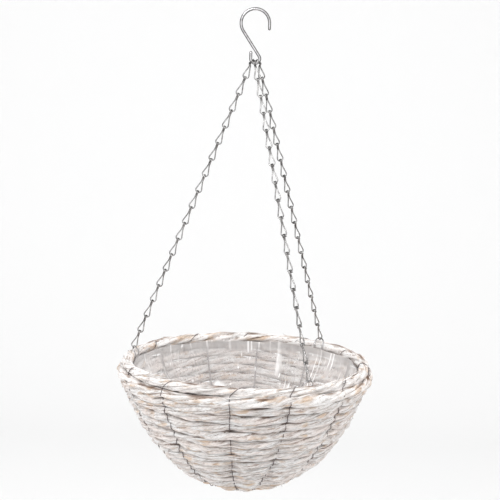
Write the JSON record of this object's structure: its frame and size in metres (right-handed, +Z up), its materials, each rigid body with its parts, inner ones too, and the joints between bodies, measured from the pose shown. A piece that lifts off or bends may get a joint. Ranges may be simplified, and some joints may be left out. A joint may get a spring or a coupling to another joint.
{
  "type": "hanging basket",
  "caption": "Round hanging basket of wound rope laced to a wire frame, with a clear film liner, hung on three wire link chains from one hook.",
  "frame": {"origin": "the point inside the top of the hook where it bears on its bracket", "axes": "+Z up along the hanging line; +X is the way the open side of the hook faces, in the plane of the hook; +Y is square to the hook"},
  "size_m": [0.3495, 0.3496, 0.6451],
  "materials": {
    "zinc_steel": "bright zinc-plated drawn wire",
    "dark_wire": "dark annealed wire, dull",
    "rope": "two-strand twisted straw rope with a worn white wash over tan fibre",
    "clear_film": "thin clear wrinkled film"
  },
  "bodies": {
    "hook": {"hook": "zinc_steel"},
    "basket": {"wall_rope_upper": "rope", "wall_rope_middle": "rope", "wall_rope_lower": "rope", "rim_rope": "rope", "base_rope": "rope", "wire_frame": "dark_wire", "liner": "clear_film", "lacing_wire_01": "dark_wire", "lacing_wire_02": "dark_wire", "lacing_wire_03": "dark_wire", "lacing_wire_04": "dark_wire", "lacing_wire_05": "dark_wire", "lacing_wire_06": "dark_wire", "lacing_wire_07": "dark_wire", "lacing_wire_08": "dark_wire", "lacing_wire_09": "dark_wire", "lacing_wire_10": "dark_wire", "lacing_wire_11": "dark_wire", "lacing_wire_12": "dark_wire", "rim_clip_a": "zinc_steel", "rim_clip_b": "zinc_steel", "rim_clip_c": "zinc_steel", "chain_a_links_1_2": "zinc_steel", "chain_a_links_17_18": "zinc_steel", "chain_b_links_1_2": "zinc_steel", "chain_b_links_17_18": "zinc_steel", "chain_c_links_1_2": "zinc_steel", "chain_c_links_17_18": "zinc_steel"},
    "chain_a_pair_2": {"chain_a_links_3_4": "zinc_steel"},
    "chain_a_pair_3": {"chain_a_links_5_6": "zinc_steel"},
    "chain_a_pair_4": {"chain_a_links_7_8": "zinc_steel"},
    "chain_a_pair_5": {"chain_a_links_9_10": "zinc_steel"},
    "chain_a_pair_6": {"chain_a_links_11_12": "zinc_steel"},
    "chain_a_pair_7": {"chain_a_links_13_14": "zinc_steel"},
    "chain_a_pair_8": {"chain_a_links_15_16": "zinc_steel"},
    "chain_b_pair_2": {"chain_b_links_3_4": "zinc_steel"},
    "chain_b_pair_3": {"chain_b_links_5_6": "zinc_steel"},
    "chain_b_pair_4": {"chain_b_links_7_8": "zinc_steel"},
    "chain_b_pair_5": {"chain_b_links_9_10": "zinc_steel"},
    "chain_b_pair_6": {"chain_b_links_11_12": "zinc_steel"},
    "chain_b_pair_7": {"chain_b_links_13_14": "zinc_steel"},
    "chain_b_pair_8": {"chain_b_links_15_16": "zinc_steel"},
    "chain_c_pair_2": {"chain_c_links_3_4": "zinc_steel"},
    "chain_c_pair_3": {"chain_c_links_5_6": "zinc_steel"},
    "chain_c_pair_4": {"chain_c_links_7_8": "zinc_steel"},
    "chain_c_pair_5": {"chain_c_links_9_10": "zinc_steel"},
    "chain_c_pair_6": {"chain_c_links_11_12": "zinc_steel"},
    "chain_c_pair_7": {"chain_c_links_13_14": "zinc_steel"},
    "chain_c_pair_8": {"chain_c_links_15_16": "zinc_steel"}
  },
  "joints": [
    {"name": "basket_swing", "type": "hinge", "parent": "hook", "child": "basket", "pos_m": [0.0012, 0, -0.068], "axis": [1, 0, 0], "range_deg": [-20, 20]},
    {"name": "chain_a_twist_2", "type": "hinge", "parent": "basket", "child": "chain_a_pair_2", "pos_m": [-0.02899, 0.00511, -0.13335], "axis": [0.3607, -0.0716, 0.9299], "range_deg": [-10, 10]},
    {"name": "chain_a_twist_3", "type": "hinge", "parent": "basket", "child": "chain_a_pair_3", "pos_m": [-0.04614, 0.00851, -0.17757], "axis": [0.3607, -0.0716, 0.9299], "range_deg": [-20, 20]},
    {"name": "chain_a_twist_4", "type": "hinge", "parent": "basket", "child": "chain_a_pair_4", "pos_m": [-0.0633, 0.01192, -0.22179], "axis": [0.3607, -0.0716, 0.9299], "range_deg": [-30, 30]},
    {"name": "chain_a_twist_5", "type": "hinge", "parent": "basket", "child": "chain_a_pair_5", "pos_m": [-0.08045, 0.01532, -0.26601], "axis": [0.3607, -0.0716, 0.9299], "range_deg": [-40, 40]},
    {"name": "chain_a_twist_6", "type": "hinge", "parent": "basket", "child": "chain_a_pair_6", "pos_m": [-0.09761, 0.01873, -0.31023], "axis": [0.3607, -0.0716, 0.9299], "range_deg": [-30, 30]},
    {"name": "chain_a_twist_7", "type": "hinge", "parent": "basket", "child": "chain_a_pair_7", "pos_m": [-0.11476, 0.02213, -0.35445], "axis": [0.3607, -0.0716, 0.9299], "range_deg": [-20, 20]},
    {"name": "chain_a_twist_8", "type": "hinge", "parent": "basket", "child": "chain_a_pair_8", "pos_m": [-0.13192, 0.02554, -0.39867], "axis": [0.3607, -0.0716, 0.9299], "range_deg": [-10, 10]},
    {"name": "chain_b_twist_2", "type": "hinge", "parent": "basket", "child": "chain_b_pair_2", "pos_m": [0.01438, -0.02318, -0.135], "axis": [-0.1852, 0.3256, 0.9272], "range_deg": [-10, 10]},
    {"name": "chain_b_twist_3", "type": "hinge", "parent": "basket", "child": "chain_b_pair_3", "pos_m": [0.02317, -0.03863, -0.179], "axis": [-0.1852, 0.3256, 0.9272], "range_deg": [-20, 20]},
    {"name": "chain_b_twist_4", "type": "hinge", "parent": "basket", "child": "chain_b_pair_4", "pos_m": [0.03196, -0.05409, -0.223], "axis": [-0.1852, 0.3256, 0.9272], "range_deg": [-30, 30]},
    {"name": "chain_b_twist_5", "type": "hinge", "parent": "basket", "child": "chain_b_pair_5", "pos_m": [0.04075, -0.06954, -0.267], "axis": [-0.1852, 0.3256, 0.9272], "range_deg": [-40, 40]},
    {"name": "chain_b_twist_6", "type": "hinge", "parent": "basket", "child": "chain_b_pair_6", "pos_m": [0.04954, -0.085, -0.311], "axis": [-0.1852, 0.3256, 0.9272], "range_deg": [-30, 30]},
    {"name": "chain_b_twist_7", "type": "hinge", "parent": "basket", "child": "chain_b_pair_7", "pos_m": [0.05833, -0.10045, -0.355], "axis": [-0.1852, 0.3256, 0.9272], "range_deg": [-20, 20]},
    {"name": "chain_b_twist_8", "type": "hinge", "parent": "basket", "child": "chain_b_pair_8", "pos_m": [0.06712, -0.1159, -0.399], "axis": [-0.1852, 0.3256, 0.9272], "range_deg": [-10, 10]},
    {"name": "chain_c_twist_2", "type": "hinge", "parent": "basket", "child": "chain_c_pair_2", "pos_m": [0.02297, 0.01958, -0.13335], "axis": [-0.2428, -0.2746, 0.9304], "range_deg": [-10, 10]},
    {"name": "chain_c_twist_3", "type": "hinge", "parent": "basket", "child": "chain_c_pair_3", "pos_m": [0.03451, 0.03263, -0.17757], "axis": [-0.2428, -0.2746, 0.9304], "range_deg": [-20, 20]},
    {"name": "chain_c_twist_4", "type": "hinge", "parent": "basket", "child": "chain_c_pair_4", "pos_m": [0.04605, 0.04568, -0.22179], "axis": [-0.2428, -0.2746, 0.9304], "range_deg": [-30, 30]},
    {"name": "chain_c_twist_5", "type": "hinge", "parent": "basket", "child": "chain_c_pair_5", "pos_m": [0.05759, 0.05873, -0.26601], "axis": [-0.2428, -0.2746, 0.9304], "range_deg": [-40, 40]},
    {"name": "chain_c_twist_6", "type": "hinge", "parent": "basket", "child": "chain_c_pair_6", "pos_m": [0.06914, 0.07178, -0.31023], "axis": [-0.2428, -0.2746, 0.9304], "range_deg": [-30, 30]},
    {"name": "chain_c_twist_7", "type": "hinge", "parent": "basket", "child": "chain_c_pair_7", "pos_m": [0.08068, 0.08483, -0.35445], "axis": [-0.2428, -0.2746, 0.9304], "range_deg": [-20, 20]},
    {"name": "chain_c_twist_8", "type": "hinge", "parent": "basket", "child": "chain_c_pair_8", "pos_m": [0.09222, 0.09788, -0.39867], "axis": [-0.2428, -0.2746, 0.9304], "range_deg": [-10, 10]}
  ],
  "couplings": [
    {"joint": "chain_a_twist_2", "follows": "chain_a_twist_5", "ratio": 0.25},
    {"joint": "chain_a_twist_3", "follows": "chain_a_twist_5", "ratio": 0.5},
    {"joint": "chain_a_twist_4", "follows": "chain_a_twist_5", "ratio": 0.75},
    {"joint": "chain_a_twist_6", "follows": "chain_a_twist_5", "ratio": 0.75},
    {"joint": "chain_a_twist_7", "follows": "chain_a_twist_5", "ratio": 0.5},
    {"joint": "chain_a_twist_8", "follows": "chain_a_twist_5", "ratio": 0.25},
    {"joint": "chain_b_twist_2", "follows": "chain_b_twist_5", "ratio": 0.25},
    {"joint": "chain_b_twist_3", "follows": "chain_b_twist_5", "ratio": 0.5},
    {"joint": "chain_b_twist_4", "follows": "chain_b_twist_5", "ratio": 0.75},
    {"joint": "chain_b_twist_6", "follows": "chain_b_twist_5", "ratio": 0.75},
    {"joint": "chain_b_twist_7", "follows": "chain_b_twist_5", "ratio": 0.5},
    {"joint": "chain_b_twist_8", "follows": "chain_b_twist_5", "ratio": 0.25},
    {"joint": "chain_c_twist_2", "follows": "chain_c_twist_5", "ratio": 0.25},
    {"joint": "chain_c_twist_3", "follows": "chain_c_twist_5", "ratio": 0.5},
    {"joint": "chain_c_twist_4", "follows": "chain_c_twist_5", "ratio": 0.75},
    {"joint": "chain_c_twist_6", "follows": "chain_c_twist_5", "ratio": 0.75},
    {"joint": "chain_c_twist_7", "follows": "chain_c_twist_5", "ratio": 0.5},
    {"joint": "chain_c_twist_8", "follows": "chain_c_twist_5", "ratio": 0.25}
  ]
}
